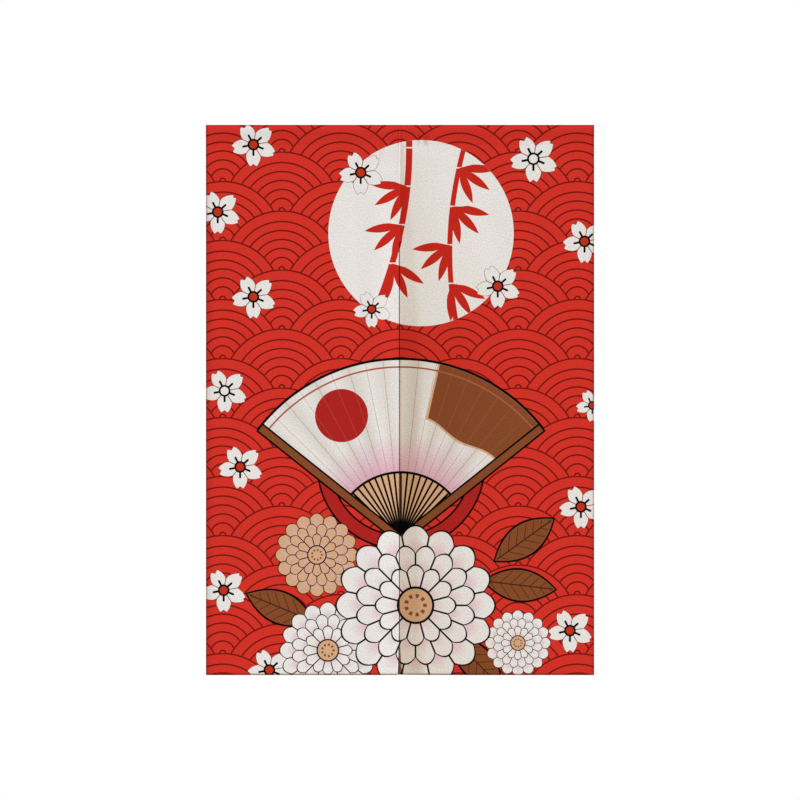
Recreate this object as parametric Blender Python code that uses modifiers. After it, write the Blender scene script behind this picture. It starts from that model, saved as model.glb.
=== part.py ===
"""A noren: a doorway curtain of two cloth panels, hung from a sewn rod pocket.

Units are metres and +Z is up. X runs across the doorway, and -Y is the printed
front. The origin is the middle of the top fold, where the curtain is held.

The pocket is an empty channel along the top. The panels hang below it, are sewn
to each other down to the top of the slit, and part below that. The cloth is
nearly flat: it dips back along the seam and the slit, the right panel deeper
than the left, and the right panel's slit edge is turned back behind the left's.
"""

import math

import bmesh
import bpy

# Driving dimensions
WIDTH = 0.850  # both panels, side to side
DROP = 1.200  # top fold to bottom hem
POCKET_DROP = 0.043  # top fold to the pocket's sewing line
SLIT_TOP = 0.249  # top fold to the top of the slit
GAP = 0.0003  # between neighbouring pieces
SEAM_ROOM = 0.00045  # from the seam to each panel's edge, whose corners lean inwards
CLOTH = 0.0013  # thickness of the single cloth
HEM = 0.0018  # thickness where the cloth is turned and sewn
SIDE_HEM = 0.010
BOTTOM_HEM = 0.020
HEM_STEP = 0.003  # the slope from a hem down to the single cloth

# The pocket's hollow, measured inside the cloth
POCKET_FRONT = 0.0022  # how far the hollow bulges to the front
POCKET_BACK = 0.0072  # and to the back, where the cloth is slack
POCKET_FULLNESS = 0.30  # 0 is an ellipse; more is fuller at the top fold
POCKET_FACES_ROUND = 28
POCKET_FACES_ALONG = 8

# How the cloth dips back along the seam and the slit
DIP_START = POCKET_DROP  # drop at which the dip begins
RIGHT_DIP_REACH = 0.105  # how far the right panel's dip spreads from the slit
LEFT_DIP_REACH = 0.060
LEFT_DIP = 0.009  # the left panel's depth at its slit edge, below the slit's top
LEFT_ROLL = 0.0025  # the left panel's soft bulge beside its dip, towards the front
LEFT_ROLL_MIDDLE = 0.115  # distance of the bulge's crest from the slit
LEFT_ROLL_REACH = 0.075  # from the crest to where the bulge ends
EDGE_CURL = 0.0012  # how far the two outer edges turn back
EDGE_CURL_REACH = 0.016

# How the right panel's slit edge is turned back
TURN_CLOTH = 0.012  # the width of cloth that turns
TURN_CREST = 0.002  # from the slit to where the turn begins
TURN_UNDER = 0.003  # how far its edge reaches behind the left panel's
TURN_DEPTH = 0.012
TURN_START = 0.020  # below the slit's top, the drop over which the turn grows
TURN_SPREAD = 0.100  # the cloth beyond the turn over which its shift fades
WEDGE_HEIGHT = 0.085  # the slit gapes over this last part of the drop
WEDGE_LEFT = 0.003  # how far the left panel's edge draws aside at the hem
WEDGE_RIGHT = 0.003

# Faces of each panel's grid, across from the slit and then down
TURN_FACES = 6  # over the turned cloth
SPREAD_FACES = 11  # from there to the outer edge's curl
SPREAD_GRADING = 1.6  # more than 1 packs them closer at the slit
SEAM_FACES = 7  # down the seam
TURN_START_FACES = 3
SLIT_FACES = 9  # from there to the wedge
WEDGE_FACES = 3

# (drop, depth of the right panel at its slit edge)
RIGHT_DIPS = (
    (DIP_START, 0.000),
    (0.090, 0.005),
    (SLIT_TOP, 0.009),
    (SLIT_TOP + 2.0 * TURN_START, 0.011),
    (0.600, 0.014),
    (DROP, 0.017),
)

RED = (0.617, 0.033, 0.019, 1.0)  # the printed ground
ROUGHNESS = 0.85


def smooth(t):
    """Rise from 0 to 1 as t goes from 0 to 1, level at both ends."""
    t = min(max(t, 0.0), 1.0)
    return t * t * (3.0 - 2.0 * t)


def between(rows, at):
    """Read a table of (place, value) rows at a place, easing from row to row."""
    if at <= rows[0][0]:
        return rows[0][1]
    for (low, first), (high, second) in zip(rows, rows[1:]):
        if at <= high:
            return first + (second - first) * smooth((at - low) / (high - low))
    return rows[-1][1]


def places(start, end, count, grading=1.0):
    """List count places that end at end, start left out, closer at start if graded."""
    return [start + (end - start) * (i / count) ** grading for i in range(1, count + 1)]


def wedge(drop):
    """Read how far the slit gapes at a drop: 0 above the gape, 1 at the hem."""
    return max(0.0, (drop - (DROP - WEDGE_HEIGHT)) / WEDGE_HEIGHT) ** 1.5


def left_fold(across, drop):
    """Place a point of the left panel's middle surface.

    across is the distance from the slit over the flat cloth, and drop the
    distance below the top fold. The dip fades as a parabola, the bulge beside
    it is a raised cosine, and the outer edge curls back.
    """
    near = max(0.0, 1.0 - across / LEFT_DIP_REACH)
    depth = min(between(RIGHT_DIPS, drop), LEFT_DIP) * near ** 2
    below = smooth((drop - DIP_START) / (SLIT_TOP - DIP_START))
    off_crest = min(abs(across - LEFT_ROLL_MIDDLE) / LEFT_ROLL_REACH, 1.0)
    depth -= LEFT_ROLL * below * 0.5 * (1.0 + math.cos(math.pi * off_crest))
    depth += below * edge_curl(across)
    aside = WEDGE_LEFT * wedge(drop) * near
    return -(SEAM_ROOM + across + aside), depth, -drop


def right_fold(across, drop):
    """Place a point of the right panel's middle surface.

    The dip fades as a parabola. Below the slit's top the last TURN_CLOTH of
    cloth sinks back along a quarter of an ellipse, and then turns under until
    its edge lies behind the left panel's. The cloth beyond follows it a little.
    """
    sink = smooth((drop - SLIT_TOP) / TURN_START)
    turn = sink ** 2
    beyond = max(0.0, across - sink * TURN_CLOTH)
    depth = between(RIGHT_DIPS, drop) * max(0.0, 1.0 - beyond / RIGHT_DIP_REACH) ** 2
    side = SEAM_ROOM + across
    crest = TURN_CREST + WEDGE_RIGHT * wedge(drop)
    if across < TURN_CLOTH:
        round_edge = (1.0 - across / TURN_CLOTH) * math.pi / 2
        reach = crest + TURN_UNDER + WEDGE_LEFT * wedge(drop)
        turned = crest - reach * math.sin(round_edge)
        depth += sink * TURN_DEPTH * (1.0 - math.cos(round_edge))
        side += turn * (turned - side)
    else:
        shift = crest - SEAM_ROOM - TURN_CLOTH
        side += turn * shift * max(0.0, 1.0 - (across - TURN_CLOTH) / TURN_SPREAD)
    below = smooth((drop - DIP_START) / (SLIT_TOP - DIP_START))
    depth += below * edge_curl(across)
    return side, depth, -drop


def edge_curl(across):
    """Read how far back the cloth lies near its outer edge."""
    from_edge = WIDTH / 2 - across
    return EDGE_CURL * max(0.0, 1.0 - from_edge / EDGE_CURL_REACH) ** 2


def printed_cloth(name):
    """Make a piece's cloth material."""
    material = bpy.data.materials.new(name + "_cloth")
    material.use_nodes = True
    shader = material.node_tree.nodes["Principled BSDF"]
    shader.inputs["Base Color"].default_value = RED
    shader.inputs["Roughness"].default_value = ROUGHNESS
    shader.inputs["Metallic"].default_value = 0.0
    return material


def add_object(name, bm, collection):
    """Put a bmesh into a new smooth-shaded object of the collection."""
    mesh = bpy.data.meshes.new(name)
    bm.to_mesh(mesh)
    bm.free()
    mesh.shade_smooth()
    mesh.materials.append(printed_cloth(name))
    made = bpy.data.objects.new(name, mesh)
    collection.objects.link(made)
    return made


def grid(columns, rows):
    """Make a flat grid, and list its vertices as (vertex, column, row)."""
    bm = bmesh.new()
    bmesh.ops.create_grid(bm, x_segments=columns, y_segments=rows, size=0.5)
    found = []
    for vertex in bm.verts:
        column = round((vertex.co.x + 0.5) * columns)
        row = round((0.5 - vertex.co.y) * rows)
        found.append((vertex, column, row))
    return bm, found


def panel_columns():
    """List how far each line of a panel's grid lies from the slit."""
    edge = WIDTH / 2
    hem = edge - SIDE_HEM
    columns = [0.0] + places(0.0, TURN_CLOTH, TURN_FACES) + [TURN_CLOTH + HEM_STEP]
    columns += places(columns[-1], edge - EDGE_CURL_REACH, SPREAD_FACES, SPREAD_GRADING)
    return columns + [hem - HEM_STEP, hem, edge - SIDE_HEM / 2, edge - SEAM_ROOM]


def panel_drops():
    """List how far each cross line of a panel's grid lies below the top fold."""
    turned = SLIT_TOP + TURN_START
    gaping = DROP - WEDGE_HEIGHT
    hem = DROP - BOTTOM_HEM
    drops = [POCKET_DROP + GAP] + places(POCKET_DROP + GAP, SLIT_TOP, SEAM_FACES)
    drops += places(SLIT_TOP, turned, TURN_START_FACES)
    drops += places(turned, gaping, SLIT_FACES)
    return drops + places(gaping, hem - HEM_STEP, WEDGE_FACES) + [hem, DROP]


def panel(name, fold, collection):
    """Build one panel: a grid laid along its fold, given its thickness.

    The hem group is 1 in the hems and CLOTH / HEM in the single cloth, and
    scales the thickness.
    """
    columns = panel_columns()
    drops = panel_drops()
    bm, found = grid(len(columns) - 1, len(drops) - 1)
    thickness = {}
    for vertex, column, row in found:
        across = columns[column]
        drop = drops[row]
        vertex.co = fold(across, drop)
        at_side = across <= TURN_CLOTH or across >= WIDTH / 2 - SIDE_HEM
        at_bottom = drop >= DROP - BOTTOM_HEM
        thickness[vertex.index] = HEM if at_side or at_bottom else CLOTH
    bm.normal_update()
    if sum(face.normal.y for face in bm.faces) > 0.0:
        bmesh.ops.reverse_faces(bm, faces=bm.faces)
    made = add_object(name, bm, collection)
    hems = made.vertex_groups.new(name="hem")
    for index, thick in thickness.items():
        hems.add([index], thick / HEM, "REPLACE")
    solid = made.modifiers.new("thickness", "SOLIDIFY")
    solid.thickness = HEM
    solid.offset = 0.0
    solid.vertex_group = hems.name
    return made


def rod_pocket(collection):
    """Build the pocket: a flat tube, open at both ends.

    A grid is rolled round the hollow's outline, closed along its first and last
    lines, and thickened outwards. The outline's height follows a cosine, and
    its depth a sine that is fuller towards the top fold, flatter in front.
    """
    bm, found = grid(POCKET_FACES_ROUND, POCKET_FACES_ALONG)
    height = POCKET_DROP - 2.0 * CLOTH
    for vertex, column, row in found:
        turn = 2.0 * math.pi * column / POCKET_FACES_ROUND
        bulge = POCKET_BACK if turn < math.pi else POCKET_FRONT
        depth = bulge * math.sin(turn) * (1.0 + POCKET_FULLNESS * math.cos(turn))
        drop = CLOTH + height / 2 * (1.0 - math.cos(turn))
        side = WIDTH * (row / POCKET_FACES_ALONG - 0.5)
        vertex.co = (side, depth, -drop)
    bmesh.ops.remove_doubles(bm, verts=bm.verts, dist=CLOTH / 10)
    bmesh.ops.recalc_face_normals(bm, faces=bm.faces)
    lowest = min(bm.faces, key=lambda face: face.calc_center_median().z)
    if lowest.normal.z > 0.0:
        bmesh.ops.reverse_faces(bm, faces=bm.faces)
    made = add_object("rod_pocket", bm, collection)
    solid = made.modifiers.new("thickness", "SOLIDIFY")
    solid.thickness = CLOTH
    solid.offset = 1.0
    return made


def main():
    """Clear the scene and build the curtain."""
    for old in list(bpy.data.objects):
        bpy.data.objects.remove(old, do_unlink=True)
    collection = bpy.data.collections.new("noren_curtain")
    bpy.context.scene.collection.children.link(collection)
    rod_pocket(collection)
    panel("left_panel", left_fold, collection)
    panel("right_panel", right_fold, collection)


main()
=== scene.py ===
"""A noren: two printed linen panels, sewn together at the top, under a flat rod pocket."""

from __future__ import annotations

import logging
import math
from dataclasses import dataclass
from enum import Enum
from typing import Callable, Protocol, Sequence, Union

import bmesh
import bpy
import numpy as np
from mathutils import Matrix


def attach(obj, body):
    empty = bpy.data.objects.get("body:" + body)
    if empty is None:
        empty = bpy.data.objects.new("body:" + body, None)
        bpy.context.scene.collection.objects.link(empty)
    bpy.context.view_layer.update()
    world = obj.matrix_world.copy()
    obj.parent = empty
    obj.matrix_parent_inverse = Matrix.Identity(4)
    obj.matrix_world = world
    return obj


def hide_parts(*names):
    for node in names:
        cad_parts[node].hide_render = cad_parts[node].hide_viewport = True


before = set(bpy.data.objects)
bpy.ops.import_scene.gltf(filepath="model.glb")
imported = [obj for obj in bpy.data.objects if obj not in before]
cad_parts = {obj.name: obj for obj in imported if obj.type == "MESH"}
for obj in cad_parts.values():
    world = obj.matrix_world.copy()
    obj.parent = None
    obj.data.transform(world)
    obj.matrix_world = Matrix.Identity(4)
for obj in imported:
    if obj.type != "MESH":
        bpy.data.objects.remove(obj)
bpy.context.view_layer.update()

LOG = logging.getLogger("noren")
MM = 0.001
TINY = 1e-6
WELD_REACH = 1e-7
PRINT_MAP = "print"
FOLD_SHADE = "fold_shade"
SOFT_EDGE = 0.6
TURN = 2.0 * math.pi
WHITE = (1.0, 1.0, 1.0, 1.0)
DECIMALS = 7

Socket = bpy.types.NodeSocket
Material = bpy.types.Material
Object = bpy.types.Object
Pair = tuple[float, float]
Triple = tuple[float, float, float]
Quad = tuple[float, float, float, float]


# ---------------------------------------------------------------- sizes


@dataclass(frozen=True)
class CurtainSizes:
    """The curtain's sizes in metres, as it is sewn and as it hangs.

    The hems' stitching takes the cloth up a little, so it spans that share of its cut width.
    """

    width: float = 0.850
    drop: float = 1.200
    pocket_drop: float = 0.043
    slit_top: float = 0.249
    take_up: float = 0.9963
    cloth: float = 0.0006
    hem_extra: float = 0.0008
    hem_step: float = 0.0008
    hem_pressed: float = 0.25
    press_reach: float = 0.006
    edge_round: float = 0.0006
    side_hem: float = 0.010
    bottom_hem: float = 0.020
    seam_room: float = 0.00001
    slit_room: float = 0.0026
    crest_room: float = -0.00015


SIZES = CurtainSizes()


# ---------------------------------------------------------------- shader bench


class Value:
    """A number that varies over the cloth: a socket with arithmetic that adds Math nodes."""

    def __init__(self, bench: Bench, socket: Socket) -> None:
        """Keep the socket and the bench that its nodes are made on."""
        self.bench = bench
        self.socket = socket

    def __add__(self, other: Number) -> Value:
        """The sum."""
        return self.bench.maths("ADD", self, other)

    __radd__ = __add__

    def __sub__(self, other: Number) -> Value:
        """The difference."""
        return self.bench.maths("SUBTRACT", self, other)

    def __rsub__(self, other: Number) -> Value:
        """The difference, from a plain number."""
        return self.bench.maths("SUBTRACT", other, self)

    def __mul__(self, other: Number) -> Value:
        """The product."""
        return self.bench.maths("MULTIPLY", self, other)

    __rmul__ = __mul__

    def __truediv__(self, other: Number) -> Value:
        """The quotient."""
        return self.bench.maths("DIVIDE", self, other)

    def __rtruediv__(self, other: Number) -> Value:
        """The quotient, of a plain number."""
        return self.bench.maths("DIVIDE", other, self)

    def __neg__(self) -> Value:
        """The same number below zero."""
        return self.bench.maths("MULTIPLY", self, -1.0)

    def __abs__(self) -> Value:
        """The size without the sign."""
        return self.bench.maths("ABSOLUTE", self)

    def __gt__(self, other: Number) -> Value:
        """One where this is the larger, else nought."""
        return self.bench.maths("GREATER_THAN", self, other)

    def __lt__(self, other: Number) -> Value:
        """One where this is the smaller, else nought."""
        return self.bench.maths("LESS_THAN", self, other)

    def least(self, other: Number) -> Value:
        """The smaller of two."""
        return self.bench.maths("MINIMUM", self, other)

    def most(self, other: Number) -> Value:
        """The larger of two."""
        return self.bench.maths("MAXIMUM", self, other)

    def folded(self, reach: float) -> Value:
        """To and fro between nought and reach: the distance to the nearest even multiple."""
        return self.bench.maths("PINGPONG", self, reach)

    def times_plus(self, factor: Number, term: Number, clamp: bool = False) -> Value:
        """The product plus a term, held between nought and one if clamp is set."""
        return self.bench.maths("MULTIPLY_ADD", self, factor, term, clamp=clamp)

    def sine(self) -> Value:
        """The sine of an angle in radians."""
        return self.bench.maths("SINE", self)

    def cosine(self) -> Value:
        """The cosine of an angle in radians."""
        return self.bench.maths("COSINE", self)

    def inside(self) -> Value:
        """A mask: one where this distance is below nought, with a soft printed edge."""
        return self.times_plus(-1.0 / SOFT_EDGE, 0.5, clamp=True)

    def ramp(self, full: float, none: float) -> Value:
        """A mask that falls evenly from one, where this is full, to nought, where it is none."""
        slope = 1.0 / (full - none)
        return self.times_plus(slope, -none * slope, clamp=True)


Number = Union[float, Value]
Inlet = Union[float, Sequence[float], Value, Socket]


class Bench:
    """Makes the nodes of one material, or of the world."""

    def __init__(self, owner: Material | bpy.types.World) -> None:
        """Start with an empty node tree.

        Args:
            owner: What the nodes are for.
        """
        owner.use_nodes = True
        self.owner = owner
        self.tree = owner.node_tree
        self.tree.nodes.clear()

    def node(
        self, kind: str, settings: dict[str, object], inlets: dict[int | str, Inlet]
    ) -> bpy.types.Node:
        """Make one node.

        Args:
            kind: The node's type.
            settings: Its settings, set before its sockets.
            inlets: A number, colour, Value or socket for each named or numbered input.

        Returns:
            The node.
        """
        made = self.tree.nodes.new(kind)
        for name, setting in settings.items():
            setattr(made, name, setting)
        for key, inlet in inlets.items():
            source = inlet.socket if isinstance(inlet, Value) else inlet
            if isinstance(source, Socket):
                self.tree.links.new(source, made.inputs[key])
            else:
                made.inputs[key].default_value = source
        return made

    def maths(self, operation: str, *terms: Number, clamp: bool = False) -> Value:
        """Make one Math node.

        Args:
            operation: What it does.
            terms: Its numbers or Values.
            clamp: Whether its result is held between nought and one.

        Returns:
            Its result.
        """
        settings = {"operation": operation, "use_clamp": clamp}
        made = self.node("ShaderNodeMath", settings, dict(enumerate(terms)))
        return Value(self, made.outputs[0])

    def angle(self, rise: Value, run: Value) -> Value:
        """The angle whose tangent is rise over run, from minus pi to pi."""
        return self.maths("ARCTAN2", rise, run)

    def vector(self, operation: str, *terms: Inlet) -> bpy.types.Node:
        """Make one Vector Math node."""
        return self.node("ShaderNodeVectorMath", {"operation": operation}, dict(enumerate(terms)))

    def mix_colour(self, mask: Inlet, under: Inlet, over: Inlet, way: str = "MIX") -> Socket:
        """Mix two colours by a mask.

        Args:
            mask: How much of the upper colour shows.
            under: The lower colour.
            over: The upper colour.
            way: The blending.

        Returns:
            The mixed colour's socket.
        """
        settings = {"data_type": "RGBA", "blend_type": way}
        return self.node("ShaderNodeMix", settings, {0: mask, 6: under, 7: over}).outputs[2]

    def pick(self, mask: Value, under: Inlet, over: Inlet) -> Socket:
        """The second vector where the mask is one, else the first."""
        settings = {"data_type": "VECTOR"}
        return self.node("ShaderNodeMix", settings, {0: mask, 4: under, 5: over}).outputs[1]

    def noise(self, at: Inlet, detail: float) -> Value:
        """Smooth noise of one cell a unit at the places of a vector socket."""
        inlets = {"Vector": at, "Scale": 1.0, "Detail": detail, "Roughness": 0.5}
        return Value(self, self.node("ShaderNodeTexNoise", {}, inlets).outputs[0])

    def finish(
        self,
        colour: Inlet,
        rough: Value,
        specular: float,
        bump: tuple[float, float, Value] | None = None,
    ) -> Material:
        """Make the surface shader and end the material.

        Args:
            colour: The surface's colour.
            rough: Its roughness.
            specular: Its plain shine.
            bump: The strength, depth and height of its relief, if it has any.

        Returns:
            The material.
        """
        inlets = {"Base Color": colour, "Roughness": rough, "Specular IOR Level": specular}
        if bump is not None:
            relief = dict(zip(("Strength", "Distance", "Height"), bump))
            inlets["Normal"] = self.node("ShaderNodeBump", {}, relief).outputs[0]
        shader = self.node("ShaderNodeBsdfPrincipled", {}, inlets)
        self.node("ShaderNodeOutputMaterial", {}, {0: shader.outputs[0]})
        return self.owner


# ---------------------------------------------------------------- print


def linear(red: int, green: int, blue: int) -> Quad:
    """Turn a printed colour into light.

    Each part c of 255 is ((c + 0.055) / 1.055) to the power 2.4, or c / 12.92 near black.

    Args:
        red: Red part, to 255.
        green: Green part, to 255.
        blue: Blue part, to 255.

    Returns:
        The colour's linear parts and an alpha of one.
    """
    parts = [part / 255.0 for part in (red, green, blue)]
    curved = [((c + 0.055) / 1.055) ** 2.4 if c > 0.04045 else c / 12.92 for c in parts]
    return (curved[0], curved[1], curved[2], 1.0)


RAW_LINEN = linear(226, 216, 203)


class Ink(Enum):
    """The print's colours."""

    GROUND = linear(211, 50, 38)
    WAVE_LINE = linear(118, 20, 15)
    BRUSH = linear(196, 39, 27)
    HEART = linear(189, 52, 27)
    LINEN = linear(233, 228, 223)
    FINE_LINE = linear(170, 90, 66)
    BLACK = linear(4, 2, 2)
    BROWN = linear(133, 74, 40)
    TAN = linear(212, 168, 130)
    DEEP_RED = linear(173, 35, 31)
    BLUSH = linear(219, 170, 186)
    PLEAT = linear(214, 208, 198)
    PARTING = linear(132, 52, 30)


class Place:
    """Where a point of the cloth lies on the flat print, in millimetres."""

    def __init__(self, bench: Bench, vector: Socket) -> None:
        """Split a vector into the distance to the right and the distance upwards.

        Args:
            bench: The material's bench.
            vector: The place as a vector.
        """
        parts = bench.node("ShaderNodeSeparateXYZ", {}, {0: vector})
        self.bench = bench
        self.vector = vector
        self.x = Value(bench, parts.outputs[0])
        self.z = Value(bench, parts.outputs[1])

    def around(self, centre: Inlet) -> Place:
        """The same place, measured from a centre."""
        return Place(self.bench, self.bench.vector("SUBTRACT", self.vector, centre).outputs[0])

    def distance(self, x: float = 0.0, z: float = 0.0) -> Value:
        """How far the place is from a point."""
        return Value(self.bench, self.bench.vector("DISTANCE", self.vector, (x, z, 0.0)).outputs[1])

    def bearing(self) -> Value:
        """The angle from straight up, growing to the right."""
        return self.bench.angle(self.x, self.z)

    def heading(self) -> Value:
        """The angle from the right, growing upwards."""
        return self.bench.angle(self.z, self.x)


class Canvas:
    """The printed colour so far, which each shape is laid over."""

    def __init__(self, bench: Bench, ground: Ink) -> None:
        """Start with a plain ground."""
        self.bench = bench
        self.colour: Inlet = ground.value

    def lay(self, ink: Ink | Socket, mask: Value) -> None:
        """Print an ink, or a colour socket, where the mask is one."""
        over = ink.value if isinstance(ink, Ink) else ink
        self.colour = self.bench.mix_colour(mask, self.colour, over)

    def outlined(
        self, shape: Value, line: float, ink: Ink | Socket, edge: Ink = Ink.BLACK
    ) -> Value:
        """Print a shape with an outline round it.

        Args:
            shape: The signed distance from its edge, below nought inside.
            line: The outline's width.
            ink: The shape's ink, or a colour socket.
            edge: The outline's ink.

        Returns:
            The shape's mask.
        """
        self.lay(edge, (shape - line).inside())
        mask = shape.inside()
        self.lay(ink, mask)
        return mask


@dataclass(frozen=True)
class Stamp:
    """Where one repeat of a motif goes, in millimetres, and the number that goes with it."""

    x: float
    z: float
    number: float


def nearest_stamp(
    place: Place, stamps: Sequence[Stamp], reach: Callable[[Stamp], float]
) -> tuple[Place, Value]:
    """Find which stamp a point belongs to.

    The point belongs to the last stamp whose centre is closer than that stamp's reach.

    Args:
        place: The point on the print.
        stamps: The stamps, whose circles don't meet.
        reach: The radius of a stamp's circle.

    Returns:
        The place measured from the stamp's centre, and the stamp's number.
    """
    bench = place.bench
    chosen: Inlet = FAR_STAMP
    for stamp in stamps:
        mask = place.distance(stamp.x, stamp.z) < reach(stamp)
        chosen = bench.pick(mask, chosen, (stamp.x, stamp.z, stamp.number))
    number = Value(bench, bench.node("ShaderNodeSeparateXYZ", {}, {0: chosen}).outputs[2])
    return place.around(chosen), number


FAR_STAMP = (9000.0, 9000.0, 1.0)


class Motif(Protocol):
    """One part of the print."""

    def print_on(self, canvas: Canvas, place: Place) -> None:
        """Draw it on the canvas, at a point of the print."""


@dataclass(frozen=True)
class Waves:
    """The ground pattern: overlapping rows of ringed half circles, in millimetres."""

    radius: float = 129.4
    row: float = 64.35
    base: float = -186.8
    first_ring: float = 7.2
    ring_step: float = 19.48
    last_ring: float = 114.0
    eye: float = 15.0
    eye_less: float = 1.0
    line: float = 3.3

    def print_on(self, canvas: Canvas, place: Place) -> None:
        """Draw the lines of the waves.

        The centres of a row lie two radii apart and those of the next row between them. A point
        belongs to the lowest wave that reaches it, of the row below, its own row or the row above,
        and is on a line where its distance from that centre is near one of the ring radii, of which
        the innermost is a little less than its share.

        Args:
            canvas: What is drawn on.
            place: The point on the print.
        """
        bench = canvas.bench
        rows = (place.z - self.base) / self.row
        number = bench.maths("FLOOR", rows)
        above = (rows - number) * self.row
        even = place.x.folded(self.radius)
        own = abs(even - number.folded(1.0) * self.radius)
        other = self.radius - own
        own_square = own * own
        other_square = other * other
        rise = above + self.row
        near = ((other_square, rise), (own_square, above), (other_square, self.row - above))
        reaches = [bench.maths("SQRT", up.times_plus(up, square)) for square, up in near]
        distance = reaches[2]
        for reach in (reaches[1], reaches[0]):
            within = reach < self.radius
            distance = distance + (reach - distance) * within
        eye = (distance < self.eye) * self.eye_less
        ring = (distance + eye - self.first_ring).folded(self.ring_step / 2.0)
        ring = ring + (distance > self.last_ring) * self.radius
        edge = abs(distance - (self.radius - self.line / 2.0))
        canvas.lay(Ink.WAVE_LINE, (ring.least(edge) - self.line / 2.0).inside())


@dataclass(frozen=True)
class Blossoms:
    """Five-petalled blossoms, all turned the same way, in millimetres."""

    stamps: tuple[Stamp, ...] = (
        Stamp(-321, -43, 1.0),
        Stamp(-399, -190, 1.0),
        Stamp(-321, -375, 1.0),
        Stamp(-384, -580, -1.0),
        Stamp(-350, -746, 1.0),
        Stamp(-386, -1015, 1.0),
        Stamp(-286, -1189, 1.0),
        Stamp(292, -74, -0.93),
        Stamp(404, -254, 1.0),
        Stamp(421, -612, 1.33),
        Stamp(396, -833, 1.0),
        Stamp(372, -1103, 1.0),
        Stamp(-86, -104, 1.0),
        Stamp(214, -352, 1.0),
        Stamp(-62, -402, 1.18),
    )
    steps: tuple[Triple, ...] = (
        (-129.5, 79.0, 0.4),
        (-56.5, 67.0, 4.3),
        (9.5, 65.0, 0.0),
        (79.5, 75.0, -5.8),
        (154.0, 74.0, 1.1),
    )
    first_axis: float = -169.0
    first_reach: float = 46.8
    circle: float = 53.0
    belly_at: float = 26.0
    belly_half: float = 28.1
    belly_width: float = 15.6
    lobe: float = 6.9
    notch: float = 0.754
    outline: float = 0.9
    parting_reach: float = 29.0
    parting: float = 0.85
    stamen_from: float = 22.5
    stamen: float = 2.35
    ring: float = 12.9
    heart: float = 8.8

    def print_on(self, canvas: Canvas, place: Place) -> None:
        """Draw the petals, hearts and stamens.

        The petal that a point belongs to is found by its bearing. A petal is the part where the
        distance across its axis is under the belly's width times 1 - ((along - its place) / its
        half length) squared, cut by a notch between two lobes.

        Args:
            canvas: What is drawn on.
            place: The point on the print.
        """
        bench = canvas.bench
        local, number = nearest_stamp(
            place, self.stamps, lambda stamp: self.circle / abs(stamp.number)
        )
        size = abs(number)
        x = local.x * size
        z = local.z * size
        radius = bench.maths("SQRT", x.times_plus(x, z * z))
        bearing = bench.angle(z, x)
        axis: Number = math.radians(self.first_axis)
        reach: Number = self.first_reach
        bisector: Number = TURN
        for limit, turn, longer in self.steps:
            past = bearing > math.radians(limit)
            axis = past.times_plus(math.radians(turn), axis)
            reach = past.times_plus(longer, reach)
            bisector = abs(bearing - math.radians(limit)).least(bisector)
        off_axis = bearing - axis
        along = radius * off_axis.cosine()
        across = abs(radius * off_axis.sine())
        belly = (along - self.belly_at) / self.belly_half
        side = across - (belly * belly).times_plus(-self.belly_width, self.belly_width)
        tip = along - reach + abs(across - self.lobe) * self.notch
        petal = side.most(tip)
        canvas.outlined(petal, self.outline, Ink.LINEN, Ink.WAVE_LINE)
        parting = (bisector * radius - self.parting).inside() * (radius < self.parting_reach)
        canvas.lay(Ink.PARTING, parting)
        beyond = (along - self.stamen_from).most(0.0)
        stamen = bench.maths("SQRT", beyond.times_plus(beyond, across * across)) - self.stamen
        black = stamen.most(-along).least(radius - self.ring)
        canvas.lay(Ink.BLACK, black.inside())
        heart = bench.mix_colour(number < 0.0, Ink.HEART.value, Ink.LINEN.value)
        canvas.lay(heart, (radius - self.heart).inside())


@dataclass(frozen=True)
class BambooMoon:
    """A pale moon with brushed bamboo across it, in millimetres."""

    x: float = 46.0
    z: float = -236.0
    radius: float = 203.0
    culm: float = 7.0
    joint: float = 84.0
    joint_shift: float = 0.4
    joint_gap: float = 1.5
    culms: tuple[Quad, ...] = (
        (-46.0, 0.22, 0.0006, 1.0),
        (64.0, 0.05, -0.0006, 0.8),
    )
    sprays: tuple[tuple[Stamp, ...], ...] = (
        (Stamp(-17, -302, -1.15), Stamp(4, -218, -2.40), Stamp(16, -134, -2.62)),
        (
            Stamp(112, -346, -1.00),
            Stamp(109, -262, -2.45),
            Stamp(115, -178, -0.80),
            Stamp(129, -94, -0.62),
        ),
    )
    leaf: float = 82.0
    leaf_bulge: float = 36.0
    leaf_edge: float = 0.2
    leaf_angle: float = 0.29
    spray_angle: float = 0.87
    spray_reach: float = 84.0

    def print_on(self, canvas: Canvas, place: Place) -> None:
        """Draw the moon, two culms and the sprays of leaves.

        A culm is the band near a slightly bowed line, cut at its joints. A spray is three leaves at
        even angles from one point, each a lens whose half width is its bulge times t (1 - t) at the
        share t of its length.

        Args:
            canvas: What is drawn on.
            place: The point on the print.
        """
        bench = canvas.bench
        disc = (place.distance(self.x, self.z) - self.radius).inside()
        canvas.lay(Ink.LINEN, disc)
        local = place.around((self.x, self.z, 0.0))
        for offset, lean, bow, thick in self.culms:
            line = local.z.times_plus(-lean, local.x) - offset
            line = (local.z * local.z).times_plus(bow, line)
            gap = (local.z + offset * self.joint_shift).folded(self.joint / 2.0) - self.joint_gap
            band = abs(line) - self.culm * thick
            canvas.lay(Ink.BRUSH, band.most(-gap).inside() * disc)
        for sprays in self.sprays:
            spray, number = nearest_stamp(place, sprays, lambda stamp: self.spray_reach)
            radius = spray.distance()
            off = spray.heading() - number
            off = bench.maths("WRAP", off, math.pi, -math.pi)
            turned = off.folded(self.leaf_angle)
            along = radius * turned.cosine() / self.leaf
            across = abs(radius * turned.sine())
            lens = across - (along * (1.0 - along)).times_plus(self.leaf_bulge, self.leaf_edge)
            lens = lens.most((abs(off) - self.spray_angle) * radius)
            canvas.lay(Ink.BRUSH, lens.inside() * disc)


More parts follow.
